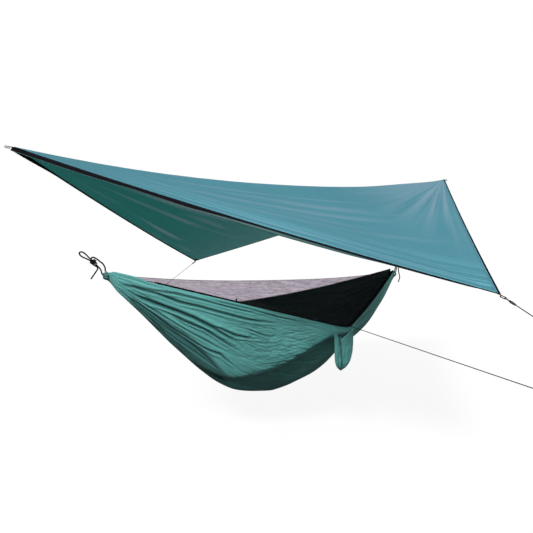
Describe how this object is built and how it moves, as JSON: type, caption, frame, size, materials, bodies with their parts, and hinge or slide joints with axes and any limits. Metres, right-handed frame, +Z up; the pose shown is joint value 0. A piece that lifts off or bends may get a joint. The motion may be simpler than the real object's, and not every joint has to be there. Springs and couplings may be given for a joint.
{
  "type": "hammock tent",
  "caption": "Gathered-end hammock under a zipped mosquito net, with a square tarp pitched on its diagonal above, suspension ropes, guylines and a hanging storage pouch.",
  "frame": {"origin": "where the foot suspension rope's eye bears on its tree strap or hook", "axes": "+X level along the ridge from the foot end to the head end, +Y away from the pouch's side, +Z up"},
  "size_m": [3.9575, 5.0473, 1.7925],
  "materials": {
    "black_net": "fine mosquito mesh",
    "black_plastic": "satin",
    "black_rope": "braided cord",
    "black_tape": "matt webbing and tape",
    "channel_cloth": "parachute nylon, lighter hem",
    "grey_cord": "braided cord",
    "hammock_cloth": "parachute nylon, soft sheen",
    "tarp_cloth": "coated ripstop cloth, soft sheen"
  },
  "bodies": {
    "tarp": {"tarp_canopy": "tarp_cloth", "hem_near_foot": "black_tape", "hem_near_head": "black_tape", "hem_far_foot": "black_tape", "hem_far_head": "black_tape", "patch_foot": "black_tape", "patch_head": "black_tape", "patch_near": "black_tape", "patch_far": "black_tape", "loop_foot": "black_tape", "loop_head": "black_tape", "loop_near": "black_tape", "loop_far": "black_tape", "near_guy_eye": "black_rope", "near_guy_knot": "black_rope", "near_guy_cord": "grey_cord", "near_guy_end_knot": "black_rope", "near_guy_end_loop": "grey_cord", "far_guy_eye": "black_rope", "far_guy_knot": "black_rope", "far_guy_cord": "grey_cord", "far_guy_end_knot": "black_rope", "far_guy_end_loop": "grey_cord"},
    "near_tensioner": {"near_guy_tensioner": "black_plastic"},
    "far_tensioner": {"far_guy_tensioner": "black_plastic"},
    "hammock": {"hammock_cloth": "hammock_cloth", "foot_sleeve": "hammock_cloth", "head_sleeve": "hammock_cloth", "foot_rope": "black_rope", "foot_rope_knot": "black_rope", "head_rope": "black_rope", "head_rope_knot": "black_rope", "near_side_loop": "black_tape", "far_side_loop": "black_tape", "net_ridge_cord": "black_rope", "zip_tape": "black_tape", "net_binding": "black_tape", "net_far_panel": "black_net", "net_foot_gusset": "black_net", "net_head_gusset": "black_net", "pouch_hanger": "hammock_cloth"},
    "side_guyline": {"side_guy_eye": "black_rope", "side_guy_knot": "black_rope", "side_guy_cord": "black_rope", "side_guy_end_knot": "black_rope", "side_guy_end_loop": "grey_cord"},
    "door": {"net_door": "black_net"},
    "slider": {"zip_slider": "black_plastic"},
    "pull": {"zip_pull": "black_plastic"},
    "pouch": {"pouch_bag": "hammock_cloth", "pouch_channel": "channel_cloth", "pouch_drawcord": "black_rope"},
    "cord_lock": {"pouch_cord_lock": "black_plastic"}
  },
  "joints": [
    {"name": "hammock_swing", "type": "hinge", "parent": "tarp", "child": "hammock", "pos_m": [0, 0, 0], "axis": [1, 0, 0], "range_deg": [-10, 10]},
    {"name": "side_guyline_pivot", "type": "hinge", "parent": "hammock", "child": "side_guyline", "pos_m": [1.61, -0.70923, -0.51008], "axis": [1, 0, 0], "range_deg": [-13, 13]},
    {"name": "net_door_open", "type": "hinge", "parent": "hammock", "child": "door", "pos_m": [0.43878, -0.0021, -0.17899], "axis": [-0.9996, 0, 0.0295], "range_deg": [0, 45]},
    {"name": "zip_slide", "type": "slide", "parent": "hammock", "child": "slider", "axis": [-0.8744, 0.4192, 0.2444], "range_m": [0, 1.05]},
    {"name": "zip_pull_flip", "type": "hinge", "parent": "slider", "child": "pull", "pos_m": [1.41765, -0.60397, -0.4677], "axis": [0.4678, 0.862, 0.1951], "range_deg": [0, 170]},
    {"name": "near_tensioner_slide", "type": "slide", "parent": "tarp", "child": "near_tensioner", "axis": [0, -0.8908, -0.4543], "range_m": [0, 0.12]},
    {"name": "far_tensioner_slide", "type": "slide", "parent": "tarp", "child": "far_tensioner", "axis": [0, 0.94, -0.3412], "range_m": [0, 0.9]},
    {"name": "pouch_swing", "type": "hinge", "parent": "hammock", "child": "pouch", "pos_m": [1.57932, -0.70342, -0.526], "axis": [-0.9303, 0.3121, 0.1928], "range_deg": [0, 45]},
    {"name": "cord_lock_slide", "type": "slide", "parent": "pouch", "child": "cord_lock", "axis": [0, 0, 1], "range_m": [0, 0.02]}
  ],
  "couplings": [
    {"joint": "side_guyline_pivot", "follows": "hammock_swing", "ratio": -1.25}
  ]
}
